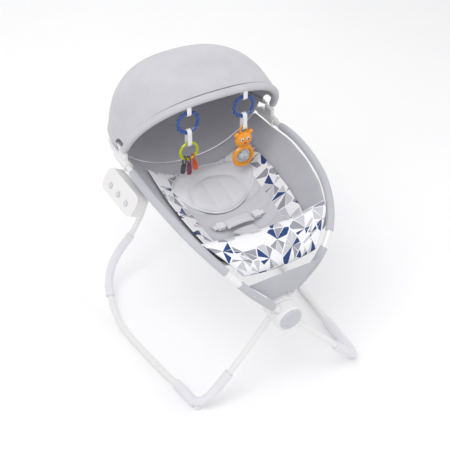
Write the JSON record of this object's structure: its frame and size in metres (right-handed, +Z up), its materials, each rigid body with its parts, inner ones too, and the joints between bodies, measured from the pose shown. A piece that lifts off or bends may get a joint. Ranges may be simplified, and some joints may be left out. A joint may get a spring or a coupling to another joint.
{
  "type": "bouncer seat",
  "caption": "Folding baby bouncer with crossed tube frames, hung fabric seat, control box, hood canopy and hanging toys.",
  "frame": {"origin": "middle of the whole object's footprint, on the floor", "axes": "+Z up, +Y to the head end, -Y to the foot end, +X to the right seen from the foot end"},
  "size_m": [0.6654, 0.8742, 0.9225],
  "materials": {
    "painted_tube": "satin",
    "grey_fitting": "matte",
    "white_fitting": "matte",
    "seat_fabric": "woven",
    "pin_steel": "brushed",
    "hub_disc": "matte",
    "liner_fabric": "quilted",
    "insert_fabric": "soft",
    "print_fabric": "printed",
    "buckle_plastic": "satin",
    "box_shell": "satin",
    "box_button": "matte",
    "battery": "matte",
    "canopy_rod": "matte",
    "canopy_cloth": "woven",
    "webbing": "woven",
    "blue_ring": "gloss",
    "lime_ring": "gloss",
    "key_charcoal": "gloss",
    "key_maroon": "gloss",
    "key_red": "gloss",
    "bear_orange": "gloss",
    "clear_ball": "clear"
  },
  "bodies": {
    "frame_a": {"front_leg_tube_a": "painted_tube", "floor_bar_a": "painted_tube", "rear_leg_tube_a": "painted_tube", "seat_rear_tube_a": "painted_tube", "side_rail_a": "painted_tube", "front_corner_a": "grey_fitting", "rear_corner_a": "grey_fitting", "head_connector_a": "white_fitting", "front_hub_a": "white_fitting", "rear_hub_a": "white_fitting", "rail_sleeve_a": "seat_fabric", "front_sleeve_a": "seat_fabric", "front_hub_pin": "pin_steel", "rear_hub_pin": "pin_steel", "seat_hammock": "seat_fabric", "seat_liner": "liner_fabric", "head_insert": "insert_fabric", "front_band": "print_fabric", "front_panel": "seat_fabric", "crotch_pad": "insert_fabric", "waist_pad": "insert_fabric", "buckle_left": "buckle_plastic", "buckle_right": "buckle_plastic"},
    "frame_b": {"front_leg_tube_b": "painted_tube", "floor_bar_b": "painted_tube", "rear_leg_tube_b": "painted_tube", "seat_rear_tube_b": "painted_tube", "side_rail_b": "painted_tube", "front_corner_b": "grey_fitting", "rear_corner_b": "grey_fitting", "head_connector_b": "white_fitting", "front_hub_b": "white_fitting", "rear_hub_b": "white_fitting", "rail_sleeve_b": "seat_fabric", "front_sleeve_b": "seat_fabric", "front_hub_disc": "hub_disc", "control_housing": "box_shell", "control_cover": "box_shell", "motor_unit": "pin_steel", "battery_pack": "battery"},
    "canopy": {"canopy_rear_bow": "canopy_rod", "canopy_fabric": "canopy_cloth"},
    "canopy_bow": {"canopy_front_bow": "canopy_rod"},
    "toy_left": {"toy_tab_left": "webbing", "link_ring_left": "blue_ring", "toy_strap_left": "webbing"},
    "toy_right": {"toy_tab_right": "webbing", "link_ring_right": "blue_ring", "toy_strap_right": "webbing"},
    "key_ring": {"key_ring": "lime_ring"},
    "key_1": {"key_1": "key_charcoal"},
    "key_2": {"key_2": "key_maroon"},
    "key_3": {"key_3": "key_red"},
    "rattle": {"bear_rattle": "bear_orange"},
    "rattle_ball": {"rattle_ball": "clear_ball"},
    "buckle_tongue_left": {"buckle_tongue_left": "buckle_plastic"},
    "buckle_tongue_right": {"buckle_tongue_right": "buckle_plastic"},
    "control_button_1": {"control_button_1": "box_button"},
    "control_button_2": {"control_button_2": "box_button"},
    "control_button_3": {"control_button_3": "box_button"}
  },
  "joints": [
    {"name": "frame_fold", "type": "hinge", "parent": "frame_a", "child": "frame_b", "pos_m": [0, -0.37654, 0.3227], "axis": [0, 0.9963, 0.0865], "range_deg": [0, 60], "deforming": ["seat_hammock", "seat_liner", "head_insert", "front_band", "front_panel", "crotch_pad", "waist_pad"]},
    {"name": "canopy_lift", "type": "slide", "parent": "frame_a", "child": "canopy", "axis": [0, 0, 1], "range_m": [0, 0.45]},
    {"name": "canopy_tilt", "type": "hinge", "parent": "canopy", "child": "canopy_bow", "pos_m": [0, 0.12446, 0.694], "axis": [1, 0, 0], "range_deg": [-55, 0], "deforming": ["canopy_fabric"]},
    {"name": "toy_left_swing", "type": "hinge", "parent": "canopy_bow", "child": "toy_left", "pos_m": [-0.096, 0.02196, 0.85877], "axis": [1, 0, 0], "range_deg": [-20, 20]},
    {"name": "toy_right_swing", "type": "hinge", "parent": "canopy_bow", "child": "toy_right", "pos_m": [0.096, 0.02196, 0.85877], "axis": [1, 0, 0], "range_deg": [-20, 20]},
    {"name": "key_ring_swing", "type": "hinge", "parent": "toy_left", "child": "key_ring", "pos_m": [-0.096, 0.02196, 0.72727], "axis": [1, 0, 0], "range_deg": [-25, 25]},
    {"name": "key_1_swing", "type": "hinge", "parent": "key_ring", "child": "key_1", "pos_m": [-0.111, 0.02196, 0.67345], "axis": [1, 0, 0], "range_deg": [-20, 20]},
    {"name": "key_2_swing", "type": "hinge", "parent": "key_ring", "child": "key_2", "pos_m": [-0.096, 0.02196, 0.66927], "axis": [1, 0, 0], "range_deg": [-20, 20]},
    {"name": "key_3_swing", "type": "hinge", "parent": "key_ring", "child": "key_3", "pos_m": [-0.081, 0.02196, 0.67345], "axis": [1, 0, 0], "range_deg": [-20, 20]},
    {"name": "rattle_swing", "type": "hinge", "parent": "toy_right", "child": "rattle", "pos_m": [0.096, 0.02196, 0.72727], "axis": [1, 0, 0], "range_deg": [-25, 25]},
    {"name": "rattle_ball_spin", "type": "hinge", "parent": "rattle", "child": "rattle_ball", "pos_m": [0.096, 0.02196, 0.61927], "axis": [1, 0, 0], "continuous": true},
    {"name": "control_button_1_press", "type": "slide", "parent": "frame_b", "child": "control_button_1", "axis": [0.8617, 0.0802, -0.501], "range_m": [0, 0.0015], "stiffness_N_per_m": 300},
    {"name": "control_button_2_press", "type": "slide", "parent": "frame_b", "child": "control_button_2", "axis": [0.8617, 0.0802, -0.501], "range_m": [0, 0.0015], "stiffness_N_per_m": 300},
    {"name": "control_button_3_press", "type": "slide", "parent": "frame_b", "child": "control_button_3", "axis": [0.8617, 0.0802, -0.501], "range_m": [0, 0.0015], "stiffness_N_per_m": 300},
    {"name": "buckle_left_release", "type": "slide", "parent": "frame_a", "child": "buckle_tongue_left", "axis": [-1, 0, 0], "range_m": [0, 0.014]},
    {"name": "buckle_right_release", "type": "slide", "parent": "frame_a", "child": "buckle_tongue_right", "axis": [1, 0, 0], "range_m": [0, 0.014]}
  ],
  "couplings": [
    {"joint": "canopy_lift", "follows": "frame_fold", "m_per_rad": 0.4295}
  ]
}
